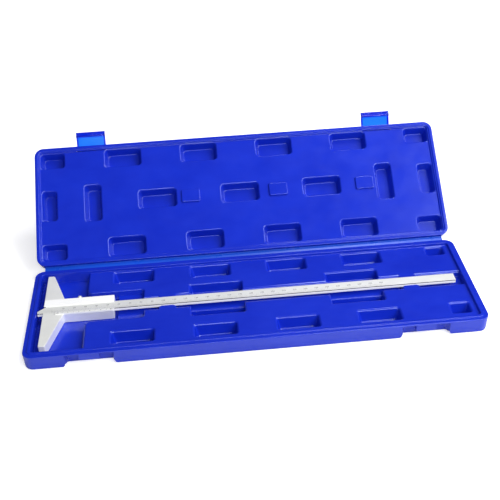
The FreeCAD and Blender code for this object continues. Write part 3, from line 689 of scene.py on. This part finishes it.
class GAUGE_OT_case_base(bpy.types.Operator):
    """Moulded tray with its rim, recesses, pockets, latch notches and catches"""

    bl_idname = "depth_gauge.case_base"
    bl_label = "Case base"

    def execute(self, context):
        case = context.scene.gauge_case
        walls = outer_wall(0.0, FLANGE_Z)
        rim = soften([
            (*walls[-1], 0), (0.0, FLANGE_Z, 0.7 * MM), (3.7 * MM, FLANGE_Z, 0.3 * MM),
            (3.95 * MM, TONGUE_Z, 0.35 * MM), (6.44 * MM, TONGUE_Z, 0.5 * MM),
            (DECK_INSET, DECK_Z, 0.55 * MM), (DECK_INSET + 1.3 * MM, DECK_Z, 0),
        ])
        tongue_middle = 5.2 * MM
        base = case_skin("base_shell", walls[:-1] + rim, tongue_middle, DECK_RADIUS + DECK_INSET)
        combine(base, hinge_rib(FOLD_BASE.z, 3.7 * MM, 3.1 * MM), "UNION")
        edge = DECK_INSET - 0.05 * MM
        combine(base, inside_rim(base_recess(), edge, RECESS_Z + 0.02 * MM))
        combine(base, inside_rim(base_channel(), edge, RECESS_Z + 0.02 * MM))
        fingers = [mm(-32.4, 2.2, 48.6, 45.2), mm(94.2, 2.2, 48.3, 45.2)]
        combine(base, joined("fingers", [finger_pocket(place) for place in fingers]))
        floor_z = DECK_Z - 11.0 * MM
        mouth, foot = case.mouth_radius, case.floor_radius
        pockets = [
            recess_tool(place, case.pocket_radius, DECK_Z, floor_z, case.deep_taper, mouth, foot)
            for place in base_pocket_places()
        ]
        combine(base, inside_rim(joined("pockets", pockets), DECK_INSET + 0.3 * MM, 0.5 * MM))
        combine(base, joined("notches", [latch_notch(-LATCH_X), latch_notch(LATCH_X)]))
        finish_piece(base, [material("case_plastic")], "case_base", ["case_base"])
        return {"FINISHED"}


def lid_pocket_places():
    """The middle row, both outer rows and the pockets at the ends, as (x, y, length, width)."""
    middle_pitch, outer_pitch = 82.0, 76.1
    places = [mm(step * middle_pitch, -0.3, 37.7, 18.8) for step in (-1, 0, 1)]
    for y in (46.3, -46.6):
        places += [mm(step * outer_pitch, y, 36.1, 18.5) for step in FOUR_STEPS]
    for side in (-1, 1):
        places += [mm(side * 184.1, 47.9, 23.8, 15.8), mm(side * 184.1, -47.9, 23.8, 15.8)]
        places += [mm(side * 145.4, -0.6, 16.7, 37.8), mm(side * 188.0, -0.3, 14.8, 31.2)]
    return places


def latch_housing(x):
    """Tool for the notch in the lid's front wall that the latch turns in."""
    depth, outside = mm(5.2, 6.0)
    place = (x, -CASE_FRONT + (depth - outside) / 2, LATCH_WIDTH + 1.8 * MM, depth + outside)
    levels = eased_floor(LIP_Z + 1.4 * MM, 0.5 * MM, 0.15 * MM)
    levels.append((LIP_Z + LID_DEPTH + MM, -0.1 * MM, 0))
    return block("housing", place, 1.2 * MM, levels)


class GAUGE_OT_case_lid(bpy.types.Operator):
    """Moulded lid with its rim, pockets, pads and latch housings, turned open"""

    bl_idname = "depth_gauge.case_lid"
    bl_label = "Case lid"

    def execute(self, context):
        case = context.scene.gauge_case
        walls = outer_wall(LIP_Z + LID_DEPTH, LIP_Z)
        rim_z = LIP_Z + 0.95 * MM
        rim = soften([
            (*walls[-1], 0), (0.0, LIP_Z, 0.7 * MM), (3.2 * MM, LIP_Z, 0.5 * MM),
            (3.6 * MM, rim_z, 0.3 * MM), (4.63 * MM, rim_z, 0.35 * MM),
            (5.0 * MM, PANEL_Z, 0.5 * MM), (6.4 * MM, PANEL_Z, 0),
        ])
        rim_middle = 4.0 * MM
        lid = case_skin("lid_shell", walls[:-1] + rim, rim_middle, PANEL_RADIUS + PANEL_INSET)
        combine(lid, hinge_rib(FOLD_LID.z, 2.8 * MM, 3.7 * MM), "UNION")
        floor_z = PANEL_Z + case.lid_pocket_depth
        pockets = [
            recess_tool(place, 3.2 * MM, PANEL_Z, floor_z, case.deep_taper, 1.0 * MM, 0.8 * MM)
            for place in lid_pocket_places()
        ]
        combine(lid, joined("pockets", pockets))
        combine(lid, joined("housings", [latch_housing(-LATCH_X), latch_housing(LATCH_X)]))
        face_z = LIP_Z + 0.4 * MM
        rises = ((0, 1.0), (0.2, 0.45), (0.6, 0.12), (1.1, 0))
        pad = [(face_z + rise * MM, 0, fillet * MM) for rise, fillet in rises]
        pad += [(PANEL_Z - 0.3 * MM, 0, -0.15 * MM), (PANEL_Z + MM, 0, -0.2 * MM)]
        pads = [block("pad", mm(x, -0.3, 18.6, 13.3), 1.9 * MM, pad) for x in (-49.2, 38.0, 125.2)]
        combine(lid, joined("pads", pads), "UNION")
        bars = []
        for x in (-LATCH_X, LATCH_X):
            middle = LATCH_PIVOT + Vector((x, 0, 0))
            bars.append(cylinder("bar", LATCH_BAR_RADIUS, LATCH_WIDTH + 5 * MM, middle, ALONG_X))
        combine(lid, joined("bars", bars), "UNION")
        lid.data.transform(OPEN_LID)
        finish_piece(lid, [material("case_plastic")], "case_lid", ["case_lid"])
        return {"FINISHED"}


class GAUGE_OT_hinge(bpy.types.Operator):
    """Thin folding web with a bead along each edge"""

    bl_idname = "depth_gauge.hinge"
    bl_label = "Hinge web"

    def execute(self, context):
        bead, web = mm(0.5, 0.3)
        y = FOLD_BASE.y
        low, high = FOLD_BASE.z, FOLD_LID.z
        neck = 1.3 * bead
        section = soften([
            (y - bead, low - bead, 0.9 * bead), (y + bead, low - bead, 0.9 * bead),
            (y + bead, low + bead, 0.6 * bead), (y + web, low + neck, 0.3 * bead),
            (y + web, high - neck, 0.3 * bead), (y + bead, high - bead, 0.6 * bead),
            (y + bead, high + bead, 0.9 * bead), (y - bead, high + bead, 0.9 * bead),
            (y - bead, high - bead, 0.6 * bead), (y - web, high - neck, 0.3 * bead),
            (y - web, low + neck, 0.3 * bead), (y - bead, low + bead, 0.6 * bead),
        ])
        web_piece = extruded("folding_web", section, -HINGE_LENGTH / 2, HINGE_LENGTH / 2)
        web_piece.data.transform(turn_about(FOLD_BASE, -LID_TURN))
        finish_piece(web_piece, [material("hinge_plastic")], "hinge_web", ["hinge_strip"])
        return {"FINISHED"}


def latch_moulding(name, x):
    """Snap latch, shaped closed and then swung open: barrel, web with side ribs, hook and grip."""
    pivot_y, pivot_z = LATCH_PIVOT.y, LATCH_PIVOT.z
    inner = -CASE_FRONT - 0.3 * MM
    outer = inner - 1.2 * MM
    end = pivot_z - 17.4 * MM
    hook_top = 6.05 * MM
    hook_bottom = hook_top - 1.7 * MM
    shoulder = 1.35 * MM
    low_x, high_x = x - LATCH_WIDTH / 2, x + LATCH_WIDTH / 2
    soft, fine, proud = mm(0.5, 0.25, 0.9)
    web = inner - 0.75 * MM
    section = soften([
        (pivot_y, pivot_z + shoulder, 0), (outer + 1.2 * MM, pivot_z + shoulder, soft),
        (outer, pivot_z + fine, soft), (outer, pivot_z - 2.2 * MM, fine), (web, pivot_z - 3.0 * MM, soft),
        (web, hook_top + 1.2 * MM, soft), (outer, hook_top + 0.4 * MM, fine),
        (outer, hook_bottom + 0.3 * MM, soft), (outer - proud, end + 1.4 * MM, soft),
        (outer - 0.6 * MM, end, soft),
        (inner + 0.3 * MM, end + 0.32 * MM, 0.4 * MM), (inner + 0.9 * MM, end + 1.7 * MM, 0.5 * MM),
        (inner + 0.1 * MM, end + 2.0 * MM, fine), (inner + 0.1 * MM, hook_bottom - 0.3 * MM, fine),
        (inner + 1.6 * MM, hook_bottom, 0.4 * MM), (inner + 2.1 * MM, hook_bottom + 0.5 * MM, 0.3 * MM),
        (inner + 2.1 * MM, hook_top, fine), (inner, hook_top, fine),
        (inner, pivot_z - 1.0 * MM, fine), (inner + 0.55 * MM, pivot_z - shoulder, fine),
        (pivot_y, pivot_z - shoulder, 0),
    ])
    plate = extruded(name, section, low_x, high_x)
    middle = LATCH_PIVOT + Vector((x, 0, 0))
    combine(plate, cylinder("barrel", 1.85 * MM, LATCH_WIDTH - 0.02 * MM, middle, ALONG_X), "UNION")
    rib_width = 1.7 * MM
    for rib_x in (low_x + 0.01 * MM, high_x - rib_width - 0.01 * MM):
        rib = soften([
            (outer + 0.3 * MM, pivot_z - 0.9 * MM, 0), (outer - proud, pivot_z - 2.2 * MM, soft),
            (outer - proud, hook_top, soft), (outer + 0.3 * MM, hook_top - 0.4 * MM, 0),
        ])
        combine(plate, extruded("rib", rib, rib_x, rib_x + rib_width), "UNION")
    bore = cylinder("bore", LATCH_BAR_RADIUS + 0.06 * MM, LATCH_WIDTH + 2 * MM, middle, ALONG_X)
    combine(plate, bore)
    plate.data.transform(OPEN_LID @ turn_about(LATCH_PIVOT, -LATCH_TURN))
    return plate


class GAUGE_OT_latches(bpy.types.Operator):
    """Two clear snap latches on the lid's bars"""

    bl_idname = "depth_gauge.latches"
    bl_label = "Latches"

    def execute(self, context):
        for node, x in (("latch_left", -LATCH_X), ("latch_right", LATCH_X)):
            latch = latch_moulding(f"{node}_moulding", x)
            finish_piece(latch, [material("latch_plastic")], node, [node])
        return {"FINISHED"}


# ---- the gauge ----
class GAUGE_OT_metalwork(bpy.types.Operator):
    """Finishes on the gauge's own machined pieces"""

    bl_idname = "depth_gauge.metalwork"
    bl_label = "Machined pieces"

    def execute(self, context):
        screws = ("clamp_screw", "guide_plate_screws", "vernier_screws", "gib_screws", "beam_stop_pin")
        finishes = {
            "satin_chrome": ("gauge_frame", "vernier_plate"),
            "bright_steel": ("guide_plate",),
            "screw_steel": screws,
            "gib_bronze": ("gib_strip",),
        }
        for finish, nodes in finishes.items():
            for node in nodes:
                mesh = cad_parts[node].data
                mesh.materials.clear()
                mesh.materials.append(material(finish))
        return {"FINISHED"}


class GAUGE_OT_beam(bpy.types.Operator):
    """Beam with a groove along its front side, and a slanted tip"""

    bl_idname = "depth_gauge.beam"
    bl_label = "Beam"

    def execute(self, context):
        front, back = BEAM_LOW.y, BEAM_HIGH.y
        low, top = BEAM_LOW.z, BEAM_HIGH.z
        edge, ledge, groove, depth, fine = mm(0.2, 0.1, 1.0, 0.35, 0.01)
        section = soften([
            (front + edge, low, 0), (back - edge, low, 0), (back, low + edge, 0),
            (back, top - edge, edge / 2), (back - edge, top, edge / 2),
            (front, top, 0.04 * MM), (front, top - ledge, 0),
            (front + depth, top - ledge, 0), (front + depth, top - ledge - groove, 0),
            (front, top - ledge - groove - MM, 0.1 * MM), (front, low + edge, 0),
        ])
        beam = extruded("beam_bar", section, BEAM_LOW.x, BEAM_HIGH.x)
        tip_x, tip_y = BEAM_LOW.x, GAUGE_Y - 1.9 * MM
        far, taper = back + 0.6 * MM, 9.2 * MM
        corner = [(tip_x - MM, tip_y - MM), (tip_x - MM, far), (tip_x + taper, far), (tip_x, tip_y)]
        slant = skinned("slant", [[(x, y, z) for x, y in corner] for z in (low - MM, top + MM)])
        combine(beam, slant)
        hole_radius, hole_length, from_end = mm(0.75, 1.5, 3.1)
        hole = Vector((BEAM_HIGH.x - from_end, GAUGE_Y, low - 0.3 * MM + hole_length / 2))
        combine(beam, cylinder("hole", hole_radius, hole_length, hole, Matrix.Identity(4)))
        finishes = [material(name) for name in ("beam_chrome", "groove_painted_shade", "bright_steel")]
        finish_piece(beam, finishes, "beam", ["beam"])
        for face in beam.data.polygons:
            below, inward = top - face.center.z, face.center.y - front
            # Faces inside the groove get near-black painted shade, standing in for the groove's shadow.
            groove_shaded = 0.1 * MM < inward < depth + fine and ledge - fine < below < ledge + groove + fine
            # The front side below the groove gets the whiter bright steel: painted light that makes the strip
            # look lit.
            painted_lit_side = inward < depth and below > ledge + groove + fine
            face.material_index = 1 if groove_shaded else 2 if painted_lit_side else 0
        return {"FINISHED"}


def repeat_tree():
    """Geometry Nodes: copies the object's own mesh along a step, each turned on about Y."""
    tree = bpy.data.node_groups.new("repeat_along", "GeometryNodeTree")
    inputs = {"Shape": "Geometry", "Count": "Int", "Step": "Vector", "Turn": "Float", "Material": "Material"}
    for name, kind in inputs.items():
        tree.interface.new_socket(name, in_out="INPUT", socket_type=f"NodeSocket{kind}")
    tree.interface.new_socket("Row", in_out="OUTPUT", socket_type="NodeSocketGeometry")
    new = tree.nodes.new
    link = tree.links.new
    given = new("NodeGroupInput")
    line = new("GeometryNodeMeshLine")
    index = new("GeometryNodeInputIndex")
    product = new("ShaderNodeMath")
    product.operation = "MULTIPLY"
    angles = new("ShaderNodeCombineXYZ")
    rotation = new("FunctionNodeEulerToRotation")
    copies = new("GeometryNodeInstanceOnPoints")
    real = new("GeometryNodeRealizeInstances")
    paint = new("GeometryNodeSetMaterial")
    result = new("NodeGroupOutput")
    link(given.outputs["Count"], line.inputs["Count"])
    link(given.outputs["Step"], line.inputs["Offset"])
    link(index.outputs[0], product.inputs[0])
    link(given.outputs["Turn"], product.inputs[1])
    link(product.outputs[0], angles.inputs["Y"])
    link(angles.outputs[0], rotation.inputs[0])
    link(line.outputs["Mesh"], copies.inputs["Points"])
    link(given.outputs["Shape"], copies.inputs["Instance"])
    link(rotation.outputs[0], copies.inputs["Rotation"])
    link(copies.outputs["Instances"], real.inputs["Geometry"])
    link(real.outputs["Geometry"], paint.inputs["Geometry"])
    link(given.outputs["Material"], paint.inputs["Material"])
    link(paint.outputs["Geometry"], result.inputs["Row"])
    return tree


def repeated(shape, count, step, turn, paint):
    """Runs the tree on shape and leaves a plain mesh in its place."""
    tree = bpy.data.node_groups.get("repeat_along") or repeat_tree()
    modifier = shape.modifiers.new("repeat", "NODES")
    modifier.node_group = tree
    values = {"Count": count, "Step": step, "Turn": turn, "Material": paint}
    for item in tree.interface.items_tree:
        if item.name in values:
            modifier[item.identifier] = values[item.name]
    mesh = evaluated_mesh(shape)
    shape.modifiers.remove(modifier)
    shape.data = mesh
    return shape


def stroke(start, length, width, lean=0.0):
    """One graduation: a flat bar from start towards +Y, which stands 0.01 mm proud."""
    proud = 0.01 * MM
    half = width / 2
    section = [(-half, -proud), (half, -proud), (half, proud), (-half, proud)]
    bar = skinned("stroke", [[(across, y, up) for across, up in section] for y in (0, length)])
    bar.data.transform(Matrix.Translation(start) @ Matrix.Rotation(lean, 4, "X"))
    return bar


def figures(text, x, y, z, height):
    """A number as flat mesh, centred over x with its foot at y."""
    curve = bpy.data.curves.new("figures", "FONT")
    curve.body = text
    curve.size = height * 1.4
    curve.align_x = "CENTER"
    curve.extrude = 0.01 * MM
    curve.resolution_u = 3
    letters = add_object("figures", curve)
    mesh = evaluated_mesh(letters)
    bpy.data.objects.remove(letters)
    mesh.transform(Matrix.Translation((x, y, z)))
    return add_object("figures", mesh)


class GAUGE_OT_beam_scale(bpy.types.Operator):
    """Millimetre graduations and centimetre numbers along the beam"""

    bl_idname = "depth_gauge.beam_scale"
    bl_label = "Beam scale"

    def execute(self, context):
        scale = context.scene.gauge_scale
        paint = material("scale_ink")
        depth_shown = FRAME_LOW.x - BEAM_LOW.x
        zero_x = VERNIER_ZERO_X - depth_shown
        front = BEAM_LOW.y + 0.25 * MM
        top = BEAM_HIGH.z
        parts = []
        for pitch, length in ((1, 2.2), (5, 3.0), (10, 3.8)):
            shape = stroke((zero_x, front, top), length * MM, scale.line_width)
            count = scale.reach // pitch + 1
            parts.append(repeated(shape, count, (pitch * MM, 0, 0), 0.0, paint))
        foot = front + 4.0 * MM
        for tens in range(1, scale.reach // 10 + 1):
            x = zero_x + tens * 10 * MM
            parts.append(figures(str(tens * 10), x, foot, top, scale.figure_height))
        marks = joined("beam_scale", parts)
        finish_piece(marks, [paint], "beam")
        return {"FINISHED"}


class GAUGE_OT_vernier_scale(bpy.types.Operator):
    """Vernier lines on the plate's bevel, with its numbers on the flat"""

    bl_idname = "depth_gauge.vernier_scale"
    bl_label = "Vernier scale"

    def execute(self, context):
        scale = context.scene.gauge_scale
        paint = material("scale_ink")
        zero_x = VERNIER_ZERO_X
        rise, run = mm(0.65, 1.5)
        lean = math.pi - math.atan2(rise, run)
        start = (zero_x, VERNIER_HIGH.y - 0.05 * MM, VERNIER_HIGH.z - rise + 0.02 * MM)
        pitch = (1 - 1 / scale.vernier_divisions) * MM
        parts = []
        for every, length in ((1, 0.8), (5, 1.25)):
            shape = stroke(start, length * MM, scale.line_width, lean)
            count = scale.vernier_divisions // every + 1
            parts.append(repeated(shape, count, (pitch * every, 0, 0), 0.0, paint))
        foot, height = VERNIER_LOW.y + 0.55 * MM, 0.65 * scale.figure_height
        for tenth in range(11):
            x = zero_x + tenth * 5 * pitch
            parts.append(figures(str(tenth), x, foot, VERNIER_HIGH.z, height))
        marks = joined("vernier_scale", parts)
        finish_piece(marks, [paint], "gauge")
        return {"FINISHED"}


class GAUGE_OT_clamp_knurl(bpy.types.Operator):
    """Straight knurl round the clamp screw's head"""

    bl_idname = "depth_gauge.clamp_knurl"
    bl_label = "Clamp knurl"

    def execute(self, context):
        ridges = context.scene.gauge_scale.knurl_ridges
        radius = (CLAMP_HIGH.z - CLAMP_LOW.z) / 2
        length = 1.9 * MM
        half = math.pi * radius / ridges * 0.8
        foot, crest = radius - 0.1 * MM, radius + 0.09 * MM
        section = [(-half, foot), (half, foot), (0.3 * half, crest), (-0.3 * half, crest)]
        ridge = skinned("ridge", [[(x, y, z) for x, z in section] for y in (0, length)])
        ring_of_ridges = repeated(ridge, ridges, (0, 0, 0), 2 * math.pi / ridges, material("screw_steel"))
        middle_x = (CLAMP_LOW.x + CLAMP_HIGH.x) / 2
        middle_z = (CLAMP_LOW.z + CLAMP_HIGH.z) / 2
        start_y = CLAMP_HIGH.y - length - 0.45 * MM
        ring_of_ridges.data.transform(Matrix.Translation((middle_x, start_y, middle_z)))
        ring_of_ridges.name = "clamp_knurl"
        finish_piece(ring_of_ridges, [material("screw_steel")], "clamp_screw")
        return {"FINISHED"}


# ---- the stage ----
def area_lamp(name, place, target, size, power):
    data = bpy.data.lights.new(name, "AREA")
    data.shape = "RECTANGLE"
    data.size, data.size_y = size
    data.energy = power
    lamp = add_object(name, data)
    lamp.location = place
    lamp.rotation_euler = (Vector(target) - Vector(place)).to_track_quat("-Z", "Y").to_euler()


def ray_kind(nodes, links, *rays):
    """1 for rays of any of these kinds, and 0 for the others."""
    path = nodes.new("ShaderNodeLightPath")
    total = None
    for ray in rays:
        if total is None:
            total = path.outputs[ray]
            continue
        either = nodes.new("ShaderNodeMath")
        either.operation = "MAXIMUM"
        links.new(total, either.inputs[0])
        links.new(path.outputs[ray], either.inputs[1])
        total = either.outputs[0]
    return total


def build_world(sky, glow):
    """White to look at, and dimmer where it lights or is mirrored by the object."""
    world = bpy.data.worlds.new("room")
    bpy.context.scene.world = world
    world.use_nodes = True
    nodes, links = world.node_tree.nodes, world.node_tree.links
    background = nodes["Background"]
    background.inputs["Color"].default_value = (1, 1, 1, 1)
    mirrored = nodes.new("ShaderNodeMapRange")
    mirrored.inputs["To Min"].default_value = sky
    mirrored.inputs["To Max"].default_value = glow
    level = nodes.new("ShaderNodeMapRange")
    level.inputs["To Max"].default_value = 1.0
    links.new(ray_kind(nodes, links, "Is Glossy Ray"), mirrored.inputs["Value"])
    links.new(ray_kind(nodes, links, "Is Camera Ray", "Is Transmission Ray"), level.inputs["Value"])
    links.new(mirrored.outputs["Result"], level.inputs["To Min"])
    links.new(level.outputs["Result"], background.inputs["Strength"])


def floor_material():
    """White card that keeps a soft shadow and shows as white where nothing shades it; its lift grows away
    from the case, painting the far floor whiter than the floor near the case.
    """
    made = bpy.data.materials.new("white_card")
    made.use_nodes = True
    nodes, links = made.node_tree.nodes, made.node_tree.links
    surface = nodes["Principled BSDF"]
    surface.inputs["Base Color"].default_value = (0.9, 0.9, 0.9, 1)
    surface.inputs["Roughness"].default_value = 0.9
    surface.inputs["Specular IOR Level"].default_value = 0.0
    surface.inputs["Emission Color"].default_value = (1, 1, 1, 1)
    reach = nodes.new("ShaderNodeVectorMath")
    reach.operation = "LENGTH"
    links.new(nodes.new("ShaderNodeTexCoord").outputs["Object"], reach.inputs[0])
    # Painted light: the white lift rises from 0.55 near the case to 0.95 far off, so far shade is painted out
    # while shade near the case stays.
    outwards = nodes.new("ShaderNodeMapRange")
    for name, value in (("From Min", 0.35), ("From Max", 1.2), ("To Min", 0.55), ("To Max", 0.95)):
        outwards.inputs[name].default_value = value
    links.new(reach.outputs["Value"], outwards.inputs["Value"])
    lift = nodes.new("ShaderNodeMath")
    lift.operation = "MULTIPLY"
    links.new(ray_kind(nodes, links, "Is Camera Ray", "Is Transmission Ray"), lift.inputs[0])
    links.new(outwards.outputs["Result"], lift.inputs[1])
    links.new(lift.outputs[0], surface.inputs["Emission Strength"])
    return made


class GAUGE_OT_stage(bpy.types.Operator):
    """Pale floor, soft lamps and the camera"""

    bl_idname = "depth_gauge.stage"
    bl_label = "Stage"

    def execute(self, context):
        stage = context.scene.gauge_stage
        width = 12.0
        corners = [(x, y, 0) for x, y in rectangle(0, 0, width, width)]
        floor = make_object("floor", corners, [(0, 1, 2, 3)])
        floor.location.z = -0.2 * MM
        floor.data.materials.append(floor_material())
        build_world(stage.sky, stage.glow)
        target = (0.0, 0.05, 0.03)
        area_lamp("key", (0.9, -0.22, 0.84), target, (0.8, 0.8), stage.key)
        area_lamp("front", (0.42, -1.15, 1.0), target, (1.6, 0.3), stage.front)
        area_lamp("top", (0.35, 0.35, 1.15), target, (0.6, 0.18), stage.top)
        camera_data = bpy.data.cameras.new("camera")
        camera_data.lens = 62.85
        camera = add_object("camera", camera_data)
        camera.location = (-0.04552, -0.62311, 0.50486)
        camera.rotation_euler = [math.radians(angle) for angle in (54.749, 1.779, -5.347)]
        context.scene.camera = camera
        context.scene.view_settings.view_transform = "Standard"
        return {"FINISHED"}


class GAUGE_PT_panel(bpy.types.Panel):
    """Buttons for each piece, in the order in which they are made"""

    bl_label = "Depth gauge"
    bl_idname = "GAUGE_PT_panel"
    bl_space_type = "VIEW_3D"
    bl_region_type = "UI"
    bl_category = "Depth gauge"

    def draw(self, context):
        for group in SETTINGS:
            settings = getattr(context.scene, group)
            for name in type(settings).__annotations__:
                self.layout.prop(settings, name)
        for operator in OPERATORS:
            self.layout.operator(operator.bl_idname)


SETTINGS = {
    "gauge_case": CaseSettings,
    "gauge_finish": FinishSettings,
    "gauge_scale": ScaleSettings,
    "gauge_stage": StageSettings,
}
OPERATORS = (
    GAUGE_OT_case_base,
    GAUGE_OT_case_lid,
    GAUGE_OT_hinge,
    GAUGE_OT_latches,
    GAUGE_OT_metalwork,
    GAUGE_OT_beam,
    GAUGE_OT_beam_scale,
    GAUGE_OT_vernier_scale,
    GAUGE_OT_clamp_knurl,
    GAUGE_OT_stage,
)


def register():
    for name, group in SETTINGS.items():
        bpy.utils.register_class(group)
        setattr(bpy.types.Scene, name, PointerProperty(type=group))
    for cls in (*OPERATORS, GAUGE_PT_panel):
        bpy.utils.register_class(cls)


def unregister():
    for cls in (GAUGE_PT_panel, *reversed(OPERATORS)):
        bpy.utils.unregister_class(cls)
    for name, group in SETTINGS.items():
        delattr(bpy.types.Scene, name)
        bpy.utils.unregister_class(group)


def main():
    register()
    for operator in OPERATORS:
        group, name = operator.bl_idname.split(".")
        getattr(getattr(bpy.ops, group), name)()


if __name__ == "__main__":
    main()
